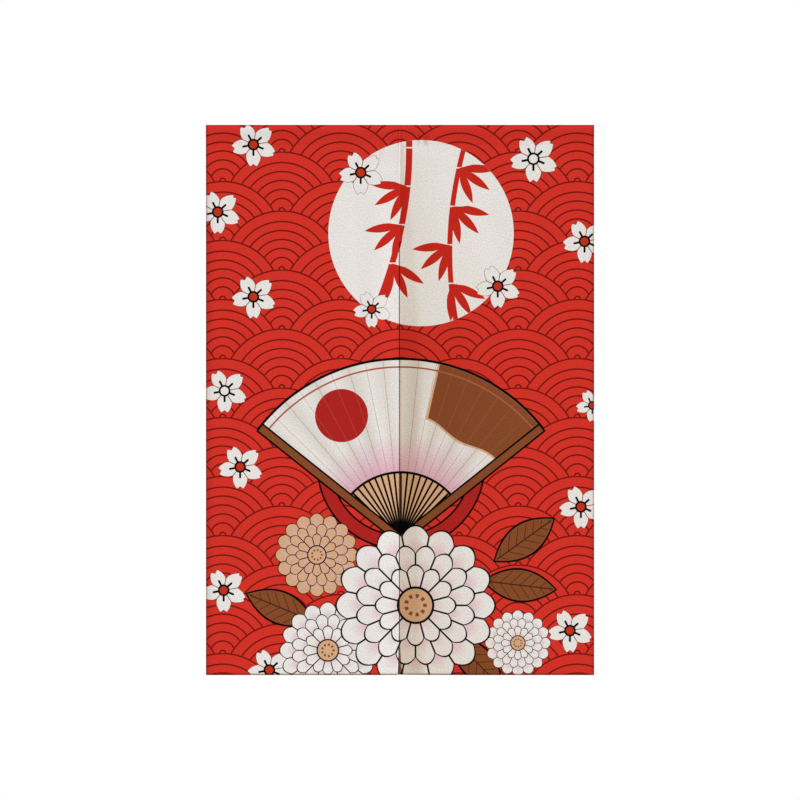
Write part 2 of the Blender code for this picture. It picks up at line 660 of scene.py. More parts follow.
@dataclass(frozen=True)
class Fan:
    """An open folding fan, in millimetres and radians."""

    x: float = 2.0
    z: float = -905.0
    paper_out: float = 392.0
    paper_in: float = 150.0
    spread: float = 0.90
    pleat: float = 0.1
    pleat_tone: float = 0.9
    outline: float = 5.5
    stick_line: float = 2.2
    blush_out: float = 232.0
    mist: Triple = (9.0, 11.0, 262.0)
    mist_from: float = 0.22
    mist_line: float = 4.5
    sun: Pair = (-128.0, -634.0)
    sun_radius: float = 58.0
    crease: float = 0.6
    crease_tone: float = 0.6
    rim_in: float = 15.0
    rim_line: float = 1.8
    guard: float = 7.5
    guard_line: float = 4.0

    def print_on(self, canvas: Canvas, place: Place) -> None:
        """Draw the sticks, the pleated paper, a sun, a mist band and the fan's outline.

        Everything is drawn by the distance from the pivot and the bearing from straight up. The
        mist band's edge is a sine of the bearing, with its rate, height and mean distance.

        Args:
            canvas: What is drawn on.
            place: The point on the print.
        """
        local = place.around((self.x, self.z, 0.0))
        radius = local.distance()
        bearing = local.bearing()
        wide = abs(bearing)
        sector = (wide - self.spread) * radius
        sticks = sector.most(radius - self.paper_in)
        canvas.lay(Ink.BLACK, (sticks - self.outline).inside())
        fold = bearing.folded(self.pleat)
        stick = (fold.least(self.pleat - fold) * radius - self.stick_line).inside()
        canvas.lay(Ink.TAN, sticks.inside() * (1.0 - stick))
        paper = sector.most(radius - self.paper_out).most(self.paper_in - radius)
        sheet = canvas.outlined(paper, self.outline, Ink.LINEN)
        canvas.lay(Ink.PLEAT, sheet * (fold * (self.pleat_tone / self.pleat)))
        canvas.lay(Ink.BLUSH, sheet * radius.ramp(self.paper_in, self.blush_out))
        rate, height, mean = self.mist
        mist = (bearing * rate).sine().times_plus(height, mean) - radius
        mist = mist.most((self.mist_from - bearing) * radius)
        canvas.lay(Ink.TAN, (mist - self.mist_line).inside() * sheet)
        canvas.lay(Ink.BROWN, mist.inside() * sheet)
        sun = place.distance(*self.sun) - self.sun_radius
        canvas.lay(Ink.DEEP_RED, sun.inside() * sheet)
        crease = (fold.least(self.pleat - fold) * radius - self.crease).inside()
        canvas.lay(Ink.FINE_LINE, crease * sheet * self.crease_tone)
        rim = abs(radius - (self.paper_out - self.rim_in)) - self.rim_line
        canvas.lay(Ink.FINE_LINE, rim.inside() * sheet)
        guard = (abs(wide - self.spread) * radius - self.guard).most(radius - self.paper_out)
        canvas.outlined(guard, self.guard_line, Ink.BROWN)


@dataclass(frozen=True)
class Ribbon:
    """A red ribbon that hangs across the fan's sticks, in millimetres."""

    x: float = 2.0
    z: float = -742.0
    radius: float = 168.0
    half_width: float = 13.0
    outline: float = 4.0

    def print_on(self, canvas: Canvas, place: Place) -> None:
        """Draw the band near the lower part of a circle, in black and then in red inside it.

        Args:
            canvas: What is drawn on.
            place: The point on the print.
        """
        local = place.around((self.x, self.z, 0.0))
        band = abs(local.distance() - self.radius) - self.half_width
        band = band.most(local.z)
        canvas.outlined(band, self.outline, Ink.DEEP_RED)


@dataclass(frozen=True)
class Leaves:
    """Broad leaves with veins, in millimetres; a stamp's number is the leaf's heading."""

    stamps: tuple[Stamp, ...]
    length: float = 78.0
    half_width: float = 33.0
    outline: float = 4.5
    room: float = 6.0
    midrib: float = 1.4
    vein: float = 1.0
    vein_step: float = 11.0
    vein_slant: float = 0.9
    vein_in: float = 3.0
    vein_tone: float = 0.75

    def print_on(self, canvas: Canvas, place: Place) -> None:
        """Draw each leaf as a lens, with its outline and veins.

        Its half width is w (1 - t squared) at the share t of the way from its middle to its tip.

        Args:
            canvas: What is drawn on.
            place: The point on the print.
        """
        local, heading = nearest_stamp(place, self.stamps, lambda stamp: self.length + self.room)
        turn_x = heading.cosine()
        turn_z = heading.sine()
        along = local.x.times_plus(turn_x, local.z * turn_z)
        across = abs(local.z.times_plus(turn_x, -(local.x * turn_z)))
        share = along / self.length
        lens = across - (share * share).times_plus(-self.half_width, self.half_width)
        canvas.outlined(lens, self.outline, Ink.BROWN)
        vein = across.times_plus(-self.vein_slant, along).folded(self.vein_step) - self.vein
        veins = vein.least(across - self.midrib).inside() * (lens + self.vein_in).inside()
        canvas.lay(Ink.BLACK, veins * self.vein_tone)


@dataclass(frozen=True)
class Chrysanthemums:
    """Round flowers of three rings of petals, in millimetres of a flower 100 in radius.

    A stamp's number is 100 over its flower's radius, below nought if the flower is tan. A ring's
    row is its radius, its number of petals, its scallop and whether its petals are shifted by a
    half.
    """

    stamps: tuple[Stamp, ...]
    rings: tuple[Quad, ...] = (
        (100.0, 16.0, 13.0, 0.0),
        (75.0, 16.0, 11.0, 1.0),
        (50.0, 12.0, 9.0, 0.0),
    )
    line: float = 2.3
    room: float = 6.0
    blush: Pair = (-33.0, -12.0)
    blush_tone: float = 0.75
    heart: float = 21.0
    heart_line: float = 3.0
    dots: float = 9.0
    dots_at: float = 12.0
    dot: float = 2.4
    dot_angle: float = 0.17

    def print_on(self, canvas: Canvas, place: Place) -> None:
        """Draw the rings of petals from the outside in, and the heart.

        A ring's edge is its radius less its scallop times the squared share of the way from a
        petal's axis to its side.

        Args:
            canvas: What is drawn on.
            place: The point on the print.
        """
        bench = canvas.bench
        whole = self.rings[0][0] + self.room
        local, number = nearest_stamp(place, self.stamps, lambda stamp: whole / abs(stamp.number))
        size = abs(number)
        radius = local.distance() * size
        heading = local.heading()
        petal_colour = bench.mix_colour(number < 0.0, Ink.LINEN.value, Ink.TAN.value)
        for outer, count, scallop, shift in self.rings:
            half = math.pi / count
            share = (heading + half * shift).folded(half) / half
            edge = radius - (share * share).times_plus(-scallop, outer)
            petals = canvas.outlined(edge, self.line, petal_colour)
            canvas.lay(Ink.BLUSH, edge.ramp(*self.blush) * self.blush_tone * petals)
            side = (1.0 - share) * radius * half - self.line * 0.5
            canvas.lay(Ink.BLACK, side.inside() * (edge - self.line * 0.5).inside())
        canvas.outlined(radius - self.heart, self.heart_line, Ink.TAN)
        beside = (heading.folded(math.pi / self.dots) - self.dot_angle) * radius
        dots = (abs(radius - self.dots_at) - self.dot).most(beside)
        canvas.lay(Ink.BROWN, dots.inside())


def print_place(bench: Bench) -> Place:
    """The point's place on the print."""
    metres = bench.node("ShaderNodeUVMap", {"uv_map": PRINT_MAP}, {}).outputs[0]
    return Place(bench, bench.vector("MULTIPLY", metres, (1.0 / MM, 1.0 / MM, 0.0)).outputs[0])


@dataclass(frozen=True)
class NorenPrint:
    """The whole print, on one flat sheet that both panels and the heading are cut from."""

    layers: tuple[Motif, ...] = (
        Waves(),
        BambooMoon(),
        Blossoms(),
        Ribbon(),
        Fan(),
        Leaves((Stamp(272, -905, 0.62), Stamp(-262, -1053, 2.75), Stamp(168, -1172, -0.8))),
        Leaves((Stamp(262, -1004, -0.12),)),
        Chrysanthemums(
            (
                Stamp(-182, -938, -100.0 / 90.0),
                Stamp(-158, -1146, 100.0 / 104.0),
                Stamp(258, -1130, 100.0 / 71.0),
            )
        ),
        Chrysanthemums((Stamp(34, -1048, 100.0 / 172.0),)),
    )

    def colour(self, bench: Bench, face: Face) -> Inlet:
        """Lay every part of the print in order, and on the reverse raw linen over that.

        Args:
            bench: The material's bench.
            face: The cloth's side.

        Returns:
            The colour's socket.
        """
        canvas = Canvas(bench, Ink.GROUND)
        place = print_place(bench)
        for layer in self.layers:
            layer.print_on(canvas, place)
        if face is Face.PRINTED:
            return canvas.colour
        return bench.mix_colour(face.value, RAW_LINEN, canvas.colour)


# ---------------------------------------------------------------- finishes


class Face(Enum):
    """Which side of the cloth a finish is for, with the share of the print that shows there."""

    PRINTED = 1.0
    REVERSE = 0.36


@dataclass(frozen=True)
class PaintedWarmShade:
    """Where a warm shade is painted on the cloth right of the middle, in the print's millimetres.

    A pair of places is where a share is one and where it is nought.
    """

    everywhere: float = 0.08
    foot: Pair = (-1170.0, -1060.0)
    widening: float = -0.0025
    narrowest: float = 0.35
    foot_width: float = 0.25
    near_strip: Pair = (33.0, 50.0)
    far_strip: Pair = (33.0, 270.0)
    lower: Pair = (-560.0, -300.0)
    depth: float = 0.54
    lower_depth: float = 0.24
    foot_depth: float = 0.22
    top: Pair = (-95.0, -43.0)

    def share(self, place: Place) -> Value:
        """How much warm shade is painted on the cloth at a place.

        Only right of the middle: a little everywhere, and most in a strip beside the slit that
        widens and deepens from the pocket down and again at the foot.

        Args:
            place: The point on the print.

        Returns:
            The share.
        """
        foot = place.z.ramp(*self.foot)
        width = (place.z * self.widening).most(self.narrowest).least(1.0)
        at = place.x / foot.times_plus(self.foot_width, width)
        strip = at.ramp(*self.near_strip).times_plus(0.5, at.ramp(*self.far_strip) * 0.5)
        deeper = foot.times_plus(self.foot_depth, self.depth)
        depth = place.z.ramp(*self.lower).times_plus(self.lower_depth, deeper)
        strip = strip * place.z.ramp(*self.top) * depth
        return strip.times_plus(1.0 - self.everywhere, self.everywhere) * (place.x > 0.0)


@dataclass(frozen=True)
class LinenFinish:
    """Slubby plain-weave linen, printed on one side."""

    name: str
    face: Face
    pitch: float = 0.85
    weave_tone: float = 0.07
    roughness: float = 0.88
    slub_tone: float = 0.15
    slub_cells: Pair = (330.0, 450.0)
    ribs: tuple[Triple, ...] = ((8.1, -7.6, 0.015), (8.2, 8.3, 0.009))
    # The colour of painted shade, laid by the fold_shade attribute on rims, the slit's turned
    # strip, tucks and the seam's sides.
    painted_shade: Quad = (0.34, 0.20, 0.13, 1.0)
    # The colour of the painted warm shade beside the slit.
    warm_shade: Quad = (0.87, 0.79, 0.67, 1.0)
    weave_height: float = 0.35
    bump: float = 0.28
    bump_depth: float = 0.0006
    slub_roughness: float = 0.12
    specular: float = 0.05

    def make(self) -> Material:
        """Make the material.

        The weave is the product of two sines of the print's own coordinates, the slubs are noise
        drawn out along the threads both ways, and two slanted sines give faint crossing ribs. A
        painted warm shade and painted shade from the fold_shade attribute darken the colour.

        Returns:
            The material.
        """
        bench = Bench(bpy.data.materials.new(self.name))
        colour = NorenPrint().colour(bench, self.face)
        metres = bench.node("ShaderNodeUVMap", {"uv_map": PRINT_MAP}, {}).outputs[0]
        slubs = []
        for scale in ((*self.slub_cells, 1.0), (*self.slub_cells[::-1], 1.0)):
            slubs.append(bench.noise(bench.vector("MULTIPLY", metres, scale).outputs[0], 0.0))
        slub = slubs[0] + slubs[1] - 1.0
        place = print_place(bench)
        tone = slub.times_plus(self.slub_tone * 2.0, 1.0)
        for across, up, depth in self.ribs:
            rib = place.x.times_plus(TURN / across, place.z * (TURN / up)).sine()
            tone = rib.times_plus(depth, tone)
        step = math.pi / self.pitch
        weave = (place.x * step).sine() * (place.z * step).sine()
        tone = weave.times_plus(self.weave_tone, tone)
        shade = bench.node("ShaderNodeCombineXYZ", {}, {0: tone, 1: tone, 2: tone}).outputs[0]
        colour = bench.mix_colour(1.0, colour, shade, "MULTIPLY")
        # Painted warm shade on the right panel, strongest in a strip beside the slit.
        colour = bench.mix_colour(PaintedWarmShade().share(place), colour, self.warm_shade, "MULTIPLY")
        # Painted shade in the folded rims, the slit's turned strip, the tucks and beside the seam.
        fold = bench.node("ShaderNodeAttribute", {"attribute_name": FOLD_SHADE}, {}).outputs["Fac"]
        colour = bench.mix_colour(fold, colour, self.painted_shade, "MULTIPLY")
        height = weave.times_plus(self.weave_height, slub)
        rough = slub.times_plus(self.slub_roughness, self.roughness)
        return bench.finish(colour, rough, self.specular, (self.bump, self.bump_depth, height))


@dataclass(frozen=True)
class ThreadFinish:
    """Sewing thread that carries the print, because the cloth is printed after it is hemmed."""

    name: str
    face: Face
    tone: float = 0.90
    ply: float = 0.35
    bump: float = 0.4
    bump_depth: float = 0.0001
    roughness: float = 0.7
    ply_roughness: float = 0.05
    specular: float = 0.3

    def make(self) -> Material:
        """Make the material: the print's colour a little darker, with the ridges of a twisted ply.

        Returns:
            The material.
        """
        bench = Bench(bpy.data.materials.new(self.name))
        colour = NorenPrint().colour(bench, self.face)
        colour = bench.mix_colour(1.0, colour, (self.tone, self.tone, self.tone, 1.0), "MULTIPLY")
        at = bench.node("ShaderNodeTexCoord", {}, {}).outputs["Object"]
        parts = bench.node("ShaderNodeSeparateXYZ", {}, {0: at})
        slant = Value(bench, parts.outputs[0]) + Value(bench, parts.outputs[2])
        ridge = (slant * (math.pi / (self.ply * MM))).sine()
        rough = ridge.times_plus(self.ply_roughness, self.roughness)
        return bench.finish(colour, rough, self.specular, (self.bump, self.bump_depth, ridge))


@dataclass(frozen=True)
class FloorFinish:
    """A plain pale studio floor."""

    colour: Quad = (0.80, 0.80, 0.79, 1.0)
    roughness: float = 0.75
    mottle: float = 0.1
    mottle_detail: float = 3.0
    specular: float = 0.2

    def make(self) -> Material:
        """Make the material: one pale matt colour, faintly mottled.

        Returns:
            The material.
        """
        bench = Bench(bpy.data.materials.new("studio_floor"))
        at = bench.node("ShaderNodeTexCoord", {}, {}).outputs["Object"]
        rough = bench.noise(at, self.mottle_detail).times_plus(self.mottle, self.roughness)
        return bench.finish(self.colour, rough, self.specular)


# ---------------------------------------------------------------- cloth surfaces

Sheet = Callable[[np.ndarray, np.ndarray], np.ndarray]


def smooth(share: np.ndarray) -> np.ndarray:
    """Ease from nought to one: s squared times (3 - 2 s), held at both ends."""
    held = np.clip(share, 0.0, 1.0)
    return held * held * (3.0 - 2.0 * held)


def eased(rows: Sequence[Pair], at: np.ndarray) -> np.ndarray:
    """Ease from each row's value to the next.

    Between two rows the value is the first plus the difference times smooth() of the share.

    Args:
        rows: Pairs of place and value.
        at: The places asked for.

    Returns:
        The values there.
    """
    value = np.full(np.shape(at), rows[0][1])
    for (start, first), (end, last) in zip(rows, rows[1:]):
        value = value + (last - first) * smooth((at - start) / (end - start))
    return value


FINE_LINES = (0.0, 0.00006, 0.00022, 0.0006, 0.0014)
FINE_ROOM = 0.0011
SLOPE_STEP = 0.0002


def stations(length: float, step: float, marks: Sequence[float]) -> np.ndarray:
    """Places along a length: even steps, with finer ones round each mark.

    Args:
        length: The whole length.
        step: The even step.
        marks: Places that need a line of their own and finer ones beside it.

    Returns:
        The sorted places.
    """
    even = np.linspace(0.0, length, int(round(length / step)) + 1)
    extra = [mark + side * off for mark in marks for off in FINE_LINES for side in (-1.0, 1.0)]
    places = np.array([place for place in extra if 0.0 <= place <= length])
    keep = [place for place in even if np.min(np.abs(places - place)) > FINE_ROOM]
    return np.unique(np.round(np.concatenate([places, keep]), DECIMALS))


def outward(sheet: Sheet, first: np.ndarray, second: np.ndarray) -> np.ndarray:
    """The unit normal of a sheet: the cross product of its slopes down and across.

    Args:
        sheet: Gives points from two parameters, the first across to the right, the second down.
        first: The first parameter's values.
        second: The second parameter's values.

    Returns:
        The normals, which point to the cloth's printed side.
    """
    right = sheet(first + SLOPE_STEP, second) - sheet(first - SLOPE_STEP, second)
    down = sheet(first, second + SLOPE_STEP) - sheet(first, second - SLOPE_STEP)
    normal = np.cross(down, right)
    return normal / np.linalg.norm(normal, axis=-1, keepdims=True)


def rim_shade(distance: np.ndarray, full: float, none: float) -> np.ndarray:
    """A folded edge's painted shade: one up to a full distance from it, nought from a further one
    on.
    """
    return np.clip((none - distance) / (none - full), 0.0, 1.0)


def rounded(distance: np.ndarray) -> np.ndarray:
    """The quarter round of a folded edge: root of 1 - (1 - share) squared."""
    share = np.clip(distance / SIZES.edge_round, 0.0, 1.0)
    return np.sqrt(1.0 - (1.0 - share) ** 2)


def wandering(at: np.ndarray, rate: float, sway: float, slow: float) -> np.ndarray:
    """A fine wave of uneven pitch: the sine of rate times the place plus sway times a slow sine."""
    return np.sin(at * rate + sway * np.sin(at * slow))


def face_offsets(
    to_hem: np.ndarray, to_joint: np.ndarray, full: np.ndarray, closed: np.ndarray, layers: float
) -> tuple[np.ndarray, np.ndarray]:
    """How far both faces of the cloth lie from its middle, along its normal.

    The outer face is half the cloth's thickness in front. The inner face is the whole thickness
    behind it, and in a hem the extra cloth too, which is pressed thinner towards a sewn joint.

    Args:
        to_hem: Distance from the hem's inner edge, below nought in the hem.
        to_joint: Distance from the sewn joint.
        full: One, and less in the outer face's rounded rim.
        closed: The same for the thickness, nought where the faces meet.
        layers: How much of the hem's extra cloth there is.

    Returns:
        The outer and the inner face's distance, to the front.
    """
    in_hem = smooth(0.5 - to_hem / SIZES.hem_step)
    pressed = SIZES.hem_pressed + (1.0 - SIZES.hem_pressed) * smooth(to_joint / SIZES.press_reach)
    extra = layers * SIZES.hem_extra * in_hem * pressed
    rim = -extra / 2.0
    outer = rim + (SIZES.cloth / 2.0 - rim) * full
    return outer, outer - (SIZES.cloth + extra) * closed


@dataclass(frozen=True)
class Ripple:
    """Low waves of hung linen: a height times the product of two slanted sines.

    A wave's row is its rate to the right, its rate down and its start, in radians.
    """

    height: float
    first: Triple
    second: Triple

    def depth(self, x: np.ndarray, drop: np.ndarray) -> np.ndarray:
        """The waves' depth at a place.

        Args:
            x: Distance to the right of the middle.
            drop: Distance below the top.

        Returns:
            Depth to add.
        """
        (right, down, start), (right_too, down_too, start_too) = self.first, self.second
        wave = np.sin(x * right + drop * down + start)
        return self.height * wave * np.sin(x * right_too + drop * down_too + start_too)


POCKET_GATHERS = (560.0, 2.0, 61.0)
SIDE_PUCKERS = (420.0, 1.7, 37.0)
FOOT_PUCKERS = (390.0, 1.9, 33.0)
SWELLS = (
    Ripple(0.00035, (31.0, 4.0, 0.6), (5.0, 6.3, 0.0)),
    Ripple(0.00022, (67.0, -11.0, 0.0), (0.0, 15.0, 1.1)),
)


@dataclass(frozen=True)
class SeamForm:
    """The soft ridge and groove of the seam that joins both panels' cloth, in metres."""

    groove: float = 0.00040
    groove_at: float = 0.0014
    groove_reach: float = 0.0025
    ridge: float = 0.00026
    ridge_at: float = -0.0026
    ridge_reach: float = 0.0021
    # The painted shade lines beside the ridge: place, reach and darkness.
    left_line: Triple = (-0.0034, 0.0014, 0.36)
    right_line: Triple = (0.0027, 0.0024, 0.26)

    def depth(self, x: np.ndarray) -> np.ndarray:
        """The groove to the back and the ridge to the front, a cosine each.

        Args:
            x: Distance to the right of the middle.

        Returns:
            Depth to add.
        """
        trough = np.cos(np.pi * np.minimum(np.abs(x - self.groove_at) / self.groove_reach, 1.0))
        crown = np.cos(np.pi * np.minimum(np.abs(x - self.ridge_at) / self.ridge_reach, 1.0))
        return 0.5 * (self.groove * (1.0 + trough) - self.ridge * (1.0 + crown))

    def painted_shade(self, x: np.ndarray, left: np.ndarray, right: np.ndarray) -> np.ndarray:
        """The painted shade line on each side of the ridge.

        A line is darkest along its middle and falls evenly to nought at its reach.

        Args:
            x: Distance to the right of the middle.
            left: How much of the left line shows.
            right: How much of the right line shows.

        Returns:
            The share of painted shade.
        """
        shades = []
        for (at, reach, tone), shown in ((self.left_line, left), (self.right_line, right)):
            shades.append(shown * tone * np.clip(1.0 - np.abs(x - at) / reach, 0.0, 1.0))
        return np.maximum(*shades)


SEAM = SeamForm()


@dataclass(frozen=True)
class Tuck:
    """One small soft trough that the pocket's stitching pulls into the cloth, in metres."""

    x: float
    drop: float
    half_width: float
    half_length: float
    depth: float
    # How dark the painted shade in the trough is.
    tone: float

    def share(self, x: np.ndarray, drop: np.ndarray) -> np.ndarray:
        """One in its middle and nought from its half width and half length on, as two cosines.

        Args:
            x: Distance to the right of the middle.
            drop: Distance below the top.

        Returns:
            The share of its depth.
        """
        across = np.cos(np.pi * np.minimum(np.abs(x - self.x) / self.half_width, 1.0))
        along = np.cos(np.pi * np.minimum(np.abs(drop - self.drop) / self.half_length, 1.0))
        return 0.25 * (1.0 + across) * (1.0 + along)


TUCKS = (
    Tuck(0.0405, 0.0300, 0.0052, 0.0190, 0.00032, 0.36),
    Tuck(0.0560, 0.0340, 0.0080, 0.0190, 0.00045, 0.42),
    Tuck(-0.0410, 0.0520, 0.0070, 0.0300, 0.00026, 0.16),
    Tuck(0.0088, 0.0480, 0.0062, 0.0030, 0.00012, 0.40),
    Tuck(0.0140, 0.0660, 0.0040, 0.0200, 0.00012, 0.16),
)


def tuck_depth(x: np.ndarray, drop: np.ndarray) -> np.ndarray:
    """How far the tucks press the cloth back at a place."""
    return sum(tuck.depth * tuck.share(x, drop) for tuck in TUCKS)


def tuck_painted_shade(x: np.ndarray, drop: np.ndarray) -> np.ndarray:
    """The painted shade in the deepest tuck at a place."""
    return np.max([tuck.tone * tuck.share(x, drop) for tuck in TUCKS], axis=0)


@dataclass
class Shell:
    """A closed sheet of cloth between an outer and an inner face, on one grid.

    Where a hem is turned over, the inner face shows the printed side and the turned print.
    """

    name: str
    outer: np.ndarray
    inner: np.ndarray
    flat_print: np.ndarray
    inner_turned: np.ndarray
    turned_print: np.ndarray
    shade: np.ndarray

    def build(self, materials: Sequence[Material]) -> Object:
        """Join both faces at their shared rim and put the result into a mesh.

        Point (i, j) of the outer face is vertex i m + j. The inner face has its own points but for
        the rim, where it uses the outer face's. Two corner faces start at their next point, so that
        they split into triangles from the corner and not across it.

        Args:
            materials: The finish of the printed side and that of the reverse.

        Returns:
            The piece.
        """
        rows, columns = self.outer.shape[:2]
        index = np.arange(rows * columns).reshape(rows, columns)
        back_index = index.copy()
        inside = (slice(1, rows - 1), slice(1, columns - 1))
        count = (rows - 2) * (columns - 2)
        back_index[inside] = rows * columns + np.arange(count).reshape(rows - 2, columns - 2)
        points = np.concatenate([self.outer.reshape(-1, 3), self.inner[inside].reshape(-1, 3)])
        shade = np.concatenate([self.shade.reshape(-1), self.shade[inside].reshape(-1)])

        def corners_of(of: np.ndarray) -> np.ndarray:
            """What a grid holds at the corners of each of its faces, turned to face outwards."""
            corners = np.stack([of[:-1, :-1], of[1:, :-1], of[1:, 1:], of[:-1, 1:]], axis=2)
            return corners.reshape(-1, *corners.shape[2:])

        front = corners_of(index)
        back = corners_of(back_index)[:, ::-1]
        turned = self.inner_turned.reshape(-1)
        outer_uv = corners_of(self.flat_print)
        inner_uv = np.where(turned[:, None, None], corners_of(self.turned_print), outer_uv)[:, ::-1]
        split = [columns - 2, (rows - 2) * (columns - 1)]
        front[split] = np.roll(front[split], 1, axis=1)
        outer_uv[split] = np.roll(outer_uv[split], 1, axis=1)
        faces = np.concatenate([front, back])
        slots = np.concatenate([np.zeros(len(front), int), np.where(turned, 0, 1)])
        prints = np.concatenate([outer_uv, inner_uv])
        made = make_piece(self.name, points, faces, prints, slots, materials)
        layer = made.data.attributes.new(FOLD_SHADE, "FLOAT", "POINT")
        layer.data.foreach_set("value", shade.astype(np.float32))
        return made


def link(name: str, data: bpy.types.ID) -> Object:
    """Make an object of a mesh, a lamp or a camera, and put it into the scene.

    Args:
        name: The object's name.
        data: What it is an object of.

    Returns:
        The object.
    """
    made = bpy.data.objects.new(name, data)
    bpy.context.scene.collection.objects.link(made)
    return made


def make_piece(
    name: str,
    points: np.ndarray,
    faces: np.ndarray,
    prints: np.ndarray,
    slots: np.ndarray,
    materials: Sequence[Material],
) -> Object:
    """Put arrays into a mesh object at the origin, with smooth faces.

    Args:
        name: The piece's name.
        points: The vertices.
        faces: Four vertex numbers a face.
        prints: The print's coordinates at each face's corners.
        slots: Each face's material slot.
        materials: The finishes.

    Returns:
        The piece.
    """
    mesh = bpy.data.meshes.new(name)
    mesh.from_pydata(points.tolist(), [], faces.tolist())
    for material in materials:
        mesh.materials.append(material)
    layer = mesh.uv_layers.new(name=PRINT_MAP)
    layer.uv.foreach_set("vector", prints.reshape(-1).astype(np.float32))
    mesh.polygons.foreach_set("material_index", slots.astype(np.int32))
    mesh.polygons.foreach_set("use_smooth", np.ones(len(faces), dtype=bool))
    mesh.update()
    return link(name, mesh)


class Side(Enum):
    """Which panel: left has its slit edge on its right."""

    LEFT = "left"
    RIGHT = "right"


@dataclass
class ClothPanel:
    """One hanging panel of the noren, with its hems, in metres.

    A row of dips or widths is a drop and the value there. A pucker is its height and its reach, and
    a rim is how far its painted shade is full and from where there is none.
    """

    side: Side
    sizes: CurtainSizes = SIZES
    dips: tuple[Pair, ...] = (
        (0.043, 0.0000),
        (0.090, 0.0019),
        (0.150, 0.0036),
        (0.249, 0.0049),
        (0.600, 0.0115),
        (1.200, 0.0134),
    )
    left_dips: tuple[Pair, ...] = (
        (0.043, 0.0000),
        (0.090, 0.0019),
        (0.150, 0.0036),
        (0.249, 0.0049),
        (0.480, 0.0044),
        (1.200, 0.0034),
    )
    dip_widths: tuple[Pair, ...] = (
        (0.043, 0.35),
        (0.150, 0.50),
        (0.249, 0.72),
        (0.600, 0.95),
        (1.200, 1.00),
    )
    steep: float = 0.033
    easing: float = 0.015
    gentle: float = 0.160
    gentle_share: float = 0.38
    left_lip: float = 0.0006
    left_lip_reach: float = 0.042
    left_dip_reach: float = 0.300
    roll: float = 0.0015
    roll_middle: float = 0.052
    roll_reach: float = 0.050
    left_curl: float = 0.0027
    right_curl: float = -0.0008
    curl_reach: float = 0.020
    curl_limit: float = 1.5
    turn_cloth: float = 0.012
    turn_under: float = 0.0024
    turn_depth: float = 0.012
    turn_start: float = 0.012
    turn_spread: float = 0.100
    wedge_height: float = 0.105
    wedge_power: float = 1.9
    wedge_left: float = 0.0024
    wedge_right: float = 0.0061
    fade_power: float = 2.3
    seam_rest: float = 0.45
    seam_fade: float = 0.045
    lip_seam: float = 0.4
    lip_power: float = 1.4
    loose_reach: float = 0.12
    side_pucker: Pair = (0.00016, 0.018)
    foot_pucker: Pair = (0.00018, 0.030)
    gather: float = 0.00030
    gather_fade: Pair = (0.004, 0.022)
    gather_middle: Pair = (0.04, 0.035)
    gather_rest: float = 0.35
    # Painted shade at the side rims and in the slit's turned strip, with their reaches.
    rim_painted_shade: float = 0.62
    side_rim: Pair = (0.0012, 0.0026)
    foot_rim: Pair = (0.0010, 0.0048)
    turn_painted_shade: float = 0.95
    turn_rim: Pair = (-0.0008, -0.0002)
    left_line_reach: float = 0.006
    right_line_reach: float = 0.08
    column_step: float = 0.0052
    row_step: float = 0.0046
    near_mark: float = 0.003
    slit_mark: float = 0.004

    @property
    def half(self) -> float:
        """Half of the curtain's width."""
        return self.sizes.width / 2.0

    def wedge(self, drop: np.ndarray) -> np.ndarray:
        """How far the slit stands open near its foot: a power of the share of the last rise."""
        share = (drop - (self.sizes.drop - self.wedge_height)) / self.wedge_height
        return np.clip(share, 0.0, None) ** self.wedge_power

    def below_seam(self, drop: np.ndarray) -> np.ndarray:
        """Eases from nought at the pocket to one at the slit's top."""
        start = self.sizes.pocket_drop
        return smooth((drop - start) / (self.sizes.slit_top - start))

    def edge_curl(self, across: np.ndarray) -> np.ndarray:
        """The outer edge's curl to the back, as the squared share of its reach.

        Args:
            across: Distance from the slit edge.

        Returns:
            Depth to add.
        """
        share = np.clip(1.0 - (self.half - across) / self.curl_reach, 0.0, self.curl_limit)
        curl = self.left_curl if self.side is Side.LEFT else self.right_curl
        return curl * share**2

    def slope(self, across: np.ndarray, drop: np.ndarray) -> np.ndarray:
        """The right panel's fall towards the slit, as a share of its full depth.

        Its slope is even in a steep strip, eases to a share of that and then fades to nought, and
        the depth is the slope's sum from the flat side. All widths scale with the drop.

        Args:
            across: Distance from the slit edge.
            drop: Distance below the top.

        Returns:
            One at the slit edge, nought far from it.
        """
        at = np.maximum(across, 0.0) / eased(self.dip_widths, drop)
        strip = self.steep - np.minimum(at, self.steep)
        over = np.clip((at - self.steep) / self.easing, 0.0, 1.0)
        fall = 1.0 - self.gentle_share
        ease = self.easing * ((1.0 - over) - fall * (0.5 - over**3 + 0.5 * over**4))
        end = self.steep + self.easing
        gentle = self.gentle_share * self.gentle / self.fade_power
        far = gentle * np.clip(1.0 - (at - end) / self.gentle, 0.0, 1.0) ** self.fade_power
        whole = self.steep + self.easing * (1.0 - fall * 0.5) + gentle
        return (strip + ease + far) / whole

    def sunk(self, drop: np.ndarray) -> np.ndarray:
        """Eases from nought at the slit's top to one a short way below."""
        return smooth((drop - self.sizes.slit_top) / self.turn_start)

    def strip(self, drop: np.ndarray) -> np.ndarray:
        """How much of the right panel's slit edge is turned back: all below the slit's top."""
        return self.sunk(drop) * self.turn_cloth

    def seam_share(self, drop: np.ndarray) -> np.ndarray:
        """How much of the seam's form shows: all at the pocket, less and less down to the slit.

        Args:
            drop: Distance below the top.

        Returns:
            The share.
        """
        under = np.clip(drop - self.sizes.pocket_drop, 0.0, None)
        shown = self.seam_rest + (1.0 - self.seam_rest) * np.exp(-under / self.seam_fade)
        return (1.0 - self.sunk(drop)) * shown

    def crest(self, drop: np.ndarray) -> np.ndarray:
        """Where the right panel's edge turns back: near the middle, further right at the foot."""
        moved = self.sizes.crest_room * self.sunk(drop) + self.wedge_right * self.wedge(drop)
        return self.sizes.seam_room + moved

